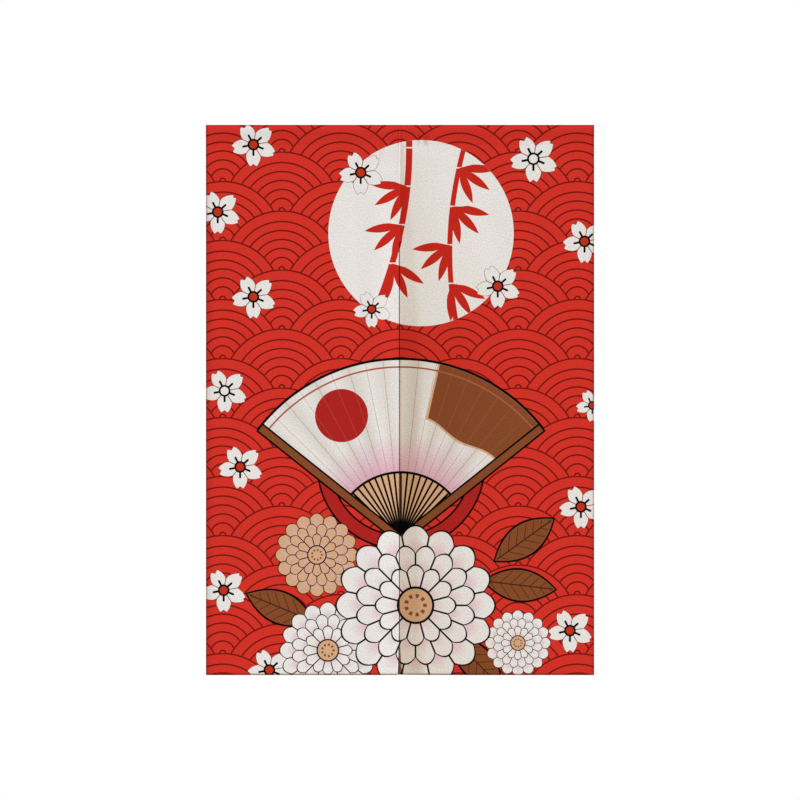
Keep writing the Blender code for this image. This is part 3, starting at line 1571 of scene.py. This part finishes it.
    def left_sheet(self, across: np.ndarray, drop: np.ndarray) -> tuple[np.ndarray, np.ndarray]:
        """The left panel's place from the distance to its slit edge and the drop.

        It dips back towards the slit as the squared share of its reach, and rolls forward in one
        soft cosine ridge.

        Args:
            across: Distance from the slit edge.
            drop: Distance below the top.

        Returns:
            Its distance to the right of the middle, and its depth to the back.
        """
        below = self.below_seam(drop)
        near = np.clip(1.0 - across / self.left_lip_reach, 0.0, None)
        dip = eased(self.left_dips, drop)
        lip = self.left_lip * (self.lip_seam + (1.0 - self.lip_seam) * self.sunk(drop))
        lip = np.minimum(dip, lip)
        wide = np.clip(1.0 - across / self.left_dip_reach, 0.0, None)
        depth = lip * near**self.lip_power + (dip - lip) * wide**2
        off_crest = np.minimum(np.abs(across - self.roll_middle) / self.roll_reach, 1.0)
        depth = depth - self.roll * below * 0.5 * (1.0 + np.cos(np.pi * off_crest))
        depth = depth + below * self.edge_curl(across)
        aside = (self.sunk(drop) * self.sizes.slit_room + self.wedge_left * self.wedge(drop)) * near
        return -(self.sizes.seam_room + across + aside), depth

    def right_sheet(self, across: np.ndarray, drop: np.ndarray) -> tuple[np.ndarray, np.ndarray]:
        """The right panel's place from the distance to its slit edge and the drop.

        Below the seam its last strip turns a quarter of the way round behind the left panel's edge,
        along an arc from the crest, and the cloth beside it is drawn along.

        Args:
            across: Distance from the slit edge.
            drop: Distance below the top.

        Returns:
            Its distance to the right of the middle, and its depth to the back.
        """
        strip = self.strip(drop)
        beyond = across - strip
        depth = eased(self.dips, drop) * self.slope(beyond, drop)
        crest = self.crest(drop)
        angle = np.clip(-beyond / self.turn_cloth, 0.0, 1.0) * np.pi / 2.0
        reach = crest + self.turn_under + self.wedge_left * self.wedge(drop)
        spread = np.clip(1.0 - beyond / self.turn_spread, 0.0, 1.0)
        side = self.sizes.seam_room + across
        drawn = side + (crest - self.sizes.seam_room - strip) * spread
        depth = depth + self.turn_depth * (1.0 - np.cos(angle))
        depth = depth + self.below_seam(drop) * self.edge_curl(across)
        return np.where(beyond < 0.0, crest - reach * np.sin(angle), drawn), depth

    def unevenness(self, x: np.ndarray, drop: np.ndarray) -> np.ndarray:
        """Small uneven waves of hung linen.

        Long faint swells and short puckers beside the hems, as sums of sines that start from
        nought at the pocket, and a few small gathers under the middle of the pocket.

        Args:
            x: Distance to the right of the middle.
            drop: Distance below the top.

        Returns:
            Depth to add.
        """
        under = drop - self.sizes.pocket_drop
        loose = smooth(under / self.loose_reach)
        swell = sum(ripple.depth(x, drop) for ripple in SWELLS)
        height, reach = self.side_pucker
        at_side = height * np.clip(1.0 - (self.half - np.abs(x)) / reach, 0.0, 1.0) ** 2
        height, reach = self.foot_pucker
        at_foot = height * np.clip(1.0 - (self.sizes.drop - drop) / reach, 0.0, 1.0) ** 2
        pucker = at_side * wandering(drop, *SIDE_PUCKERS) + at_foot * wandering(x, *FOOT_PUCKERS)
        rise, fall = self.gather_fade
        fading = np.clip(under / rise, 0.0, 1.0) * np.exp(-np.clip(under, 0.0, None) / fall)
        middle, spread = self.gather_middle
        most = (1.0 - self.gather_rest) * np.exp(-(((x - middle) / spread) ** 2))
        gather = self.gather * wandering(x, *POCKET_GATHERS) * (self.gather_rest + most)
        return loose * (swell + pucker) + gather * fading

    def sheet(self, x_like: np.ndarray, drop: np.ndarray) -> np.ndarray:
        """The middle of the cloth from a place across, to the right, and the drop.

        Args:
            x_like: Distance to the right of the slit edge; below nought in the left panel.
            drop: Distance below the top.

        Returns:
            Points in the last axis.
        """
        if self.side is Side.LEFT:
            x, depth = self.left_sheet(-x_like, drop)
        else:
            x, depth = self.right_sheet(x_like, drop)
        sewn = self.seam_share(drop) * SEAM.depth(x) + tuck_depth(x, drop)
        depth = depth + self.unevenness(x, drop) + sewn
        return np.stack([x * self.sizes.take_up, depth, -drop], axis=-1)

    def grid(self) -> tuple[np.ndarray, np.ndarray]:
        """The grid's two parameters, with fine lines at the edges and the hems.

        Returns:
            The distance across, to the right, and the drop, for each point.
        """
        width = self.half - self.sizes.seam_room
        hem = self.sizes.side_hem
        marks = (0.0, self.near_mark, hem, self.turn_cloth, width - hem, width)
        across = stations(width, self.column_step, marks)
        if self.side is Side.LEFT:
            across = -across[::-1]
        length = self.sizes.drop - self.sizes.pocket_drop
        slit_top = self.sizes.slit_top - self.sizes.pocket_drop
        marks = (0.0, slit_top, slit_top + self.slit_mark, length - self.sizes.bottom_hem, length)
        rows = stations(length, self.row_step, marks)
        drops = rows + self.sizes.pocket_drop + self.sizes.seam_room
        drops[-1] = self.sizes.drop
        return np.meshgrid(across, drops)

    def shell(self) -> Shell:
        """Work out both faces of the cloth.

        The outer face is half the cloth's thickness in front of the middle. The inner face lies
        half behind it and further back in the hems. Both meet in a rounded rim, apart from the seam
        and the pocket's edge, where the outer face runs straight on.

        Returns:
            The shell.
        """
        across, drop = self.grid()
        middle = self.sheet(across, drop)
        normal = outward(self.sheet, across, drop)
        size = self.sizes
        to_slit = np.abs(across)
        to_outer = (self.half - size.seam_room) - to_slit
        to_foot = size.drop - drop
        to_top = drop - size.pocket_drop
        free = np.minimum(rounded(to_outer), rounded(to_foot))
        opened = self.sunk(drop)
        full = np.minimum(free, opened * rounded(to_slit) + (1.0 - opened))
        closed = np.minimum(free, np.minimum(rounded(to_slit), rounded(to_top)))
        to_side = np.minimum(to_slit, to_outer)
        to_hem = np.minimum(to_side - size.side_hem, to_foot - size.bottom_hem)
        outer_off, inner_off = face_offsets(to_hem, to_top, full, closed, 1.0)
        outer = middle + normal * outer_off[..., None]
        inner = middle + normal * inner_off[..., None]
        printed = self.printed_at(middle, across, drop)
        edge_x = np.where(to_slit < to_outer, 0.0, np.sign(across) * self.half)
        at_side = to_side < size.side_hem + TINY
        x, z = printed[..., 0], printed[..., 1]
        turned_x = np.where(at_side, 2.0 * edge_x - x, x)
        turned_print = np.stack([turned_x, np.where(at_side, z, -2.0 * size.drop - z)], axis=-1)
        centre = 0.25 * (to_hem[:-1, :-1] + to_hem[1:, :-1] + to_hem[1:, 1:] + to_hem[:-1, 1:])
        shade = self.painted_shade(x, drop, to_slit, to_outer)
        name = f"{self.side.value}_cloth"
        return Shell(name, outer, inner, printed, centre < 0.0, turned_print, shade)

    def painted_shade(
        self, x: np.ndarray, drop: np.ndarray, to_slit: np.ndarray, to_outer: np.ndarray
    ) -> np.ndarray:
        """The painted shade of the rims, the turned strip, the tucks and the seam: the darkest of
        them.

        Args:
            x: Distance to the right of the middle, on the print.
            drop: Distance below the top.
            to_slit: Distance from the slit edge.
            to_outer: Distance from the outer edge.

        Returns:
            The share of painted shade.
        """
        to_top = drop - self.sizes.pocket_drop
        side = self.rim_painted_shade * rim_shade(to_outer, *self.side_rim)
        shade = np.maximum(side, rim_shade(self.sizes.drop - drop, *self.foot_rim))
        if self.side is Side.RIGHT:
            # Painted shadow in the slit's turned strip, which lies behind the left panel's edge.
            beyond = to_slit - self.strip(drop)
            shade = np.maximum(shade, self.turn_painted_shade * rim_shade(beyond, *self.turn_rim))
        left = 1.0 - smooth(to_top / self.left_line_reach)
        right = 1.0 - smooth(to_top / self.right_line_reach)
        return np.maximum(shade, np.maximum(tuck_painted_shade(x, drop), SEAM.painted_shade(x, left, right)))

    def printed_at(self, middle: np.ndarray, across: np.ndarray, drop: np.ndarray) -> np.ndarray:
        """The place on the print: the hung place, and on the turned strip the cloth's own length.

        Args:
            middle: The cloth's points.
            across: Distance to the right of the slit edge.
            drop: Distance below the top.

        Returns:
            The print's coordinates.
        """
        x = middle[..., 0] / self.sizes.take_up
        if self.side is Side.RIGHT:
            beyond = across - self.strip(drop)
            x = np.where(beyond < 0.0, self.crest(drop) + beyond, x)
        return np.stack([x, -drop], axis=-1)

    def build(self, materials: Sequence[Material], node: str, resting: Object) -> Object:
        """Args:
            materials: The printed side's finish and the reverse's.
            node: The CAD node that it stands for.
            resting: The heading that it hangs from; not used.

        Returns:
            The piece.
        """
        made = self.shell().build(materials)
        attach(made, "root")
        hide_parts(node)
        return made


@dataclass
class Heading:
    """The top of the cloth, folded to the back into a flat pocket for a rod, in metres.

    A row of the sway is its height, its rate and its start, and a rim is as in the panels.
    """

    sizes: CurtainSizes = SIZES
    front_bulge: float = 0.0032
    back_bulge: float = 0.0068
    back_foot: float = 0.045
    back_stand: float = 0.0015
    front_rise: float = 3.494
    back_rise: float = 2.598
    back_sway: tuple[Triple, ...] = ((0.00055, 23.0, 0.8), (0.0004, 61.0, 0.0))
    front_sway: float = 0.3
    pucker: float = 0.00012
    pucker_from: float = 0.55
    pucker_full: float = 0.35
    pucker_end: float = 0.1
    # Painted shade at the side rims and the top fold, with their reaches.
    rim_painted_shade: float = 0.62
    side_rim: Pair = (0.0012, 0.0026)
    fold_rim: Pair = (0.0018, 0.0036)
    close_reach: float = 0.0002
    hem_room: float = 0.0009
    foot_room: float = 0.0005
    column_step: float = 0.006
    seam_columns: Triple = (-0.0065, 0.0105, 0.0007)
    tuck_columns: Triple = (0.0345, 0.066, 0.0015)
    row_count: int = 43

    def wall(self, share: np.ndarray) -> tuple[np.ndarray, np.ndarray]:
        """The depth of the front and back walls at a share of the pocket's height below its top.

        The front is its bulge times sqrt(f) (1 - f) squared over that product's highest value, so
        it meets the panels without a bend. The back is its own times sqrt(f) (1 - f), and stands
        behind the panels.

        Args:
            share: The share of the height, f.

        Returns:
            Both depths, the front's below nought.
        """
        held = np.clip(share, 0.0, 1.0)
        root = np.sqrt(held)
        front = -self.front_rise * self.front_bulge * root * (1.0 - held) ** 2
        back = self.back_rise * (self.back_bulge - self.back_stand) * root * (1.0 - held)
        return front, back + self.back_stand * smooth(held * 3.0)

    def sheet(self, x: np.ndarray, run: np.ndarray) -> np.ndarray:
        """The middle of the cloth from a place across and the way up the back and down the front.

        The way is negative on the back and positive on the front; its root eases the fold.

        Args:
            x: Distance to the right of the middle.
            run: Minus the drop on the back, plus the drop on the front.

        Returns:
            Points in the last axis.
        """
        top = self.sizes.cloth / 2.0
        share = np.abs(run) / self.sizes.pocket_drop
        front, back = self.wall(share)
        sway = sum(height * np.sin(x * rate + start) for height, rate, start in self.back_sway)
        sway = sway * np.sin(np.pi * np.clip(share, 0.0, 1.0)) ** 2
        depth = np.where(run < 0.0, back + sway, front + self.front_sway * sway)
        pucker = self.pucker * wandering(x, *POCKET_GATHERS)
        pucker = pucker * np.clip((share - self.pucker_from) / self.pucker_full, 0.0, 1.0)
        pucker = pucker * np.clip((1.0 - share) / self.pucker_end, 0.0, 1.0)
        end = self.sizes.pocket_drop
        drop = np.where(np.abs(run) <= end, top + np.abs(run) * (end - top) / end, np.abs(run))
        pressed = SEAM.depth(x) * self.seam_share(run) + tuck_depth(x, run)
        return np.stack([x * self.sizes.take_up, depth + pucker + pressed, -drop], axis=-1)

    def seam_share(self, run: np.ndarray) -> np.ndarray:
        """How much of the seam's form shows: all on the front from a third of the way down."""
        return smooth(run / self.sizes.pocket_drop * 3.0)

    def rows(self) -> np.ndarray:
        """The ways of the grid's rows: close together round the fold and at both hems.

        Returns:
            The sorted ways, from the back's foot to the front's foot.
        """
        share = np.linspace(0.0, 1.0, self.row_count + 1)[1:]
        front = self.sizes.pocket_drop * share**2
        back = self.back_foot * share**2
        hem = self.back_foot - np.array(FINE_LINES[:4])
        keep = back[back < self.back_foot - self.hem_room]
        foot = self.sizes.pocket_drop - np.array([self.sizes.seam_room, FINE_LINES[2]])
        front = front[front < self.sizes.pocket_drop - self.foot_room]
        return np.unique(np.concatenate([-hem, -keep, [0.0], front, foot]))

    def shell(self) -> Shell:
        """Work out both faces of the folded cloth.

        Returns:
            The shell.
        """
        size = self.sizes
        half = size.width / 2.0
        marks = (0.0, size.side_hem, size.width - size.side_hem, size.width)
        columns = stations(size.width, self.column_step, marks)
        finer = [half + np.arange(*places) for places in (self.seam_columns, self.tuck_columns)]
        columns = np.unique(np.round(np.concatenate([columns, *finer]), DECIMALS))
        x, run = np.meshgrid(columns - half, self.rows())
        middle = self.sheet(x, run)
        normal = outward(self.sheet, x, run)
        to_end = half - np.abs(x)
        to_back = run + self.back_foot
        to_front = size.pocket_drop - run
        full = np.minimum(rounded(to_end), rounded(to_back))
        closed = np.minimum(full, np.clip(to_front / self.close_reach, 0.0, 1.0))
        closed[-1, :] = 0.0
        to_joint = np.minimum(to_front, to_back)
        outer_off, inner_off = face_offsets(to_end - size.side_hem, to_joint, full, closed, 0.5)
        outer = middle + normal * outer_off[..., None]
        inner = middle + normal * inner_off[..., None]
        printed = np.stack([x, -run], axis=-1)
        turned = printed.copy()
        turned[..., 0] = np.sign(x) * 2.0 * half - x
        centre = 0.5 * (to_end[:-1, :-1] + to_end[:-1, 1:]) < size.side_hem
        # Painted shade at the top fold, the side rims, the tucks and beside the seam.
        fold = rim_shade(np.abs(run), *self.fold_rim)
        rims = np.maximum(rim_shade(to_end, *self.side_rim), fold)
        shown = self.seam_share(run)
        sewn = np.maximum(tuck_painted_shade(x, run), SEAM.painted_shade(x, shown, shown))
        shade = np.maximum(self.rim_painted_shade * rims, sewn)
        return Shell("heading_cloth", outer, inner, printed, centre, turned, shade)

    def build(self, materials: Sequence[Material]) -> Object:
        """Args:
            materials: The printed side's finish and the reverse's.

        Returns:
            The piece.
        """
        made = self.shell().build(materials)
        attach(made, "root")
        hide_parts("rod_pocket")
        return made


# ---------------------------------------------------------------- stitching


@dataclass
class Stitching:
    """Rows of lockstitch along the hems, the slit and the pocket, in metres.

    The places, radii and lifts are those of a stitch's rings, as shares of its length and its
    thickness.
    """

    left: ClothPanel
    right: ClothPanel
    heading: Heading
    pitch: float = 0.0036
    length: float = 0.0028
    thick: float = 0.00024
    hem_row: float = 0.0085
    foot_row: float = 0.018
    pocket_row: float = 0.0405
    end_room: float = 0.001
    sunk_share: float = 0.25
    probe: float = 0.0003
    sides: int = 5
    places: tuple[float, ...] = (-0.5, -0.36, 0.0, 0.36, 0.5)
    radii: tuple[float, ...] = (0.0, 0.8, 1.0, 0.8, 0.0)
    lifts: tuple[float, ...] = (-1.0, -0.1, 0.35, -0.1, -1.0)

    def row(
        self, sheet: Sheet, start: Pair, end: Pair, depth: float, face: int
    ) -> tuple[np.ndarray, np.ndarray, np.ndarray]:
        """Lay one row of stitches on a sheet.

        Each stitch is a many-sided spindle whose middle stands a little higher than its ends:
        centre + along a + across r cos t + up (r sin t + lift).

        Args:
            sheet: The cloth's middle surface.
            start: The row's first place, in the sheet's own two parameters.
            end: Its last place.
            depth: How far the thread lies from the middle surface, along its normal.
            face: The material slot.

        Returns:
            The points of every stitch, their print coordinates, and the slot of each.
        """
        begin, finish = np.array(start), np.array(end)
        run = float(np.linalg.norm(finish - begin))
        count = int(run // self.pitch)
        at = begin + (finish - begin) * ((np.arange(count) + 0.5) / count)[:, None]
        small = (finish - begin) / run * self.probe
        centre = sheet(at[:, 0], at[:, 1])
        ahead, behind = at + small, at - small
        along = sheet(ahead[:, 0], ahead[:, 1]) - sheet(behind[:, 0], behind[:, 1])
        along = along / np.linalg.norm(along, axis=1, keepdims=True)
        up = outward(sheet, at[:, 0], at[:, 1])
        across = np.cross(along, up)
        place = np.array(self.places)[:, None] * self.length
        radius = np.array(self.radii)[:, None] * self.thick
        lift = np.array(self.lifts)[:, None] * self.thick * np.sign(depth)
        turn = np.arange(self.sides)[None, :] * TURN / self.sides
        stitch = centre[:, None, None, :] + along[:, None, None, :] * place[None, :, :, None]
        stitch = stitch + across[:, None, None, :] * (radius * np.cos(turn))[None, :, :, None]
        height = depth + lift + radius * np.sin(turn)
        stitch = stitch + up[:, None, None, :] * height[None, :, :, None]
        prints = np.stack([centre[:, 0] / self.left.sizes.take_up, -at[:, 1]], axis=-1)
        prints = np.repeat(prints, len(self.places) * self.sides, axis=0)
        return stitch.reshape(-1, 3), prints, np.full(count, face)

    def rows(self) -> list[tuple[np.ndarray, np.ndarray, np.ndarray]]:
        """Every row, on the printed side and on the reverse.

        Returns:
            What row() gives for each.
        """
        size = self.left.sizes
        top = size.pocket_drop + self.end_room
        foot = size.drop - self.foot_row
        front = size.cloth / 2.0 + self.thick * self.sunk_share
        back = -(front + size.hem_extra)
        width = self.left.half
        made = []
        for panel, sign in ((self.left, -1.0), (self.right, 1.0)):
            for depth, face in ((front, 0), (back, 1)):
                near, far = sign * self.hem_row, sign * (width - self.hem_row)
                sides = [((at, top), (at, foot)) for at in (near, far)]
                for start, end in (*sides, ((near, foot), (far, foot))):
                    made.append(self.row(panel.sheet, start, end, depth, face))
        end = width - self.end_room
        for way in (self.pocket_row, -self.pocket_row):
            made.append(self.row(self.heading.sheet, (-end, way), (end, way), front, 0))
        return made

    def build(self, materials: Sequence[Material]) -> Object:
        """Make all stitches as one piece.

        Args:
            materials: The thread on the printed side and on the reverse.

        Returns:
            The piece.
        """
        points, prints, slots = (np.concatenate(parts) for parts in zip(*self.rows()))
        count = len(slots)
        ring = np.arange(self.sides)
        after = (ring + 1) % self.sides
        band = np.stack([ring, after, after + self.sides, ring + self.sides], axis=1)
        bands = range(len(self.places) - 1)
        pattern = np.concatenate([band + place * self.sides for place in bands])
        firsts = np.arange(count) * len(self.places) * self.sides
        faces = (pattern[None] + firsts[:, None, None]).reshape(-1, 4)
        uvs = prints[faces]
        slots = np.repeat(slots, len(pattern))
        made = make_piece("stitching", points, faces, uvs, slots, materials)
        weld(made)
        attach(made, "root")
        return made


def weld(piece: Object) -> None:
    """Join points that lie on one another and turn all faces outwards.

    Args:
        piece: The piece to mend.
    """
    mesh = bmesh.new()
    mesh.from_mesh(piece.data)
    bmesh.ops.remove_doubles(mesh, verts=mesh.verts, dist=WELD_REACH)
    bmesh.ops.recalc_face_normals(mesh, faces=mesh.faces)
    mesh.to_mesh(piece.data)
    mesh.free()


# ---------------------------------------------------------------- studio


@dataclass
class Studio:
    """The pale floor, the soft light and the camera, in metres, degrees and watts a square metre.

    A light's row is its name, how far it stands to the right and up, its strength and its spread.
    """

    camera_back: float = 9.0
    clip_end: float = 100.0
    lens: float = 185.68
    middle: float = -0.600
    floor_z: float = -3.40
    floor_radius: float = 1.8
    floor_wedges: int = 96
    lights: tuple[tuple[str, float, float, float, float], ...] = (
        ("key", 40.0, 32.0, 3.40, 9.0),
        ("rear", 145.0, 25.0, 1.6, 25.0),
    )
    ambient: float = 0.245

    def floor(self) -> Object:
        """Returns:
            The floor.
        """
        ring = np.arange(self.floor_wedges)
        turn = ring * TURN / self.floor_wedges
        rim = np.stack([np.cos(turn), np.sin(turn), np.zeros_like(turn)], axis=1)
        points = np.concatenate([np.zeros((1, 3)), rim * self.floor_radius])
        points[:, 2] = self.floor_z
        after = (ring + 1) % self.floor_wedges
        faces = np.stack([np.zeros_like(ring), ring + 1, after + 1], axis=1)
        mesh = bpy.data.meshes.new("floor")
        mesh.from_pydata(points.tolist(), [], faces.tolist())
        mesh.materials.append(FloorFinish().make())
        made = link("floor", mesh)
        return made

    def light(self) -> None:
        """Hang a large soft light at the right in front and a weak one behind, in a pale world."""
        for name, side, up, strength, spread in self.lights:
            lamp = bpy.data.lights.new(name, "SUN")
            lamp.energy = strength
            lamp.angle = math.radians(spread)
            angles = (math.pi / 2.0 - math.radians(up), 0.0, math.radians(side))
            link(name, lamp).rotation_euler = angles
        world = bpy.data.worlds.new("studio")
        bench = Bench(world)
        seen = bench.node("ShaderNodeLightPath", {}, {}).outputs["Is Camera Ray"]
        shares = {"Value": seen, "To Min": self.ambient, "To Max": 1.0}
        glow = bench.node("ShaderNodeMapRange", {}, shares).outputs["Result"]
        sky = bench.node("ShaderNodeBackground", {}, {"Color": WHITE, "Strength": glow})
        bench.node("ShaderNodeOutputWorld", {}, {0: sky.outputs[0]})
        bpy.context.scene.world = world

    def camera(self) -> None:
        """Set the camera straight in front of the curtain's middle."""
        data = bpy.data.cameras.new("camera")
        data.lens = self.lens
        data.clip_end = self.clip_end
        made = link("camera", data)
        made.location = (0.0, -self.camera_back, self.middle)
        made.rotation_euler = (math.pi / 2.0, 0.0, 0.0)
        bpy.context.scene.camera = made

    def build(self) -> None:
        """Make the floor, the light and the camera."""
        self.floor()
        self.light()
        self.camera()
        bpy.context.scene.view_settings.view_transform = "Standard"


# ---------------------------------------------------------------- main


def report(piece: Object) -> None:
    """Log a finished piece's name and its number of faces."""
    LOG.info("%s: %d faces", piece.name, len(piece.data.polygons))


def main() -> None:
    """Build the noren's pieces in order, then the studio."""
    logging.basicConfig(level=logging.INFO, format="%(name)s %(message)s")
    linens = (("printed_linen", Face.PRINTED), ("linen_reverse", Face.REVERSE))
    cloth = [LinenFinish(name, face).make() for name, face in linens]
    threads = (("printed_thread", Face.PRINTED), ("thread_reverse", Face.REVERSE))
    thread = [ThreadFinish(name, face).make() for name, face in threads]
    heading = Heading()
    top = heading.build(cloth)
    report(top)
    left = ClothPanel(Side.LEFT)
    right = ClothPanel(Side.RIGHT)
    report(left.build(cloth, "left_panel", top))
    report(right.build(cloth, "right_panel", top))
    report(Stitching(left, right, heading).build(thread))
    Studio().build()


if __name__ == "__main__":
    main()
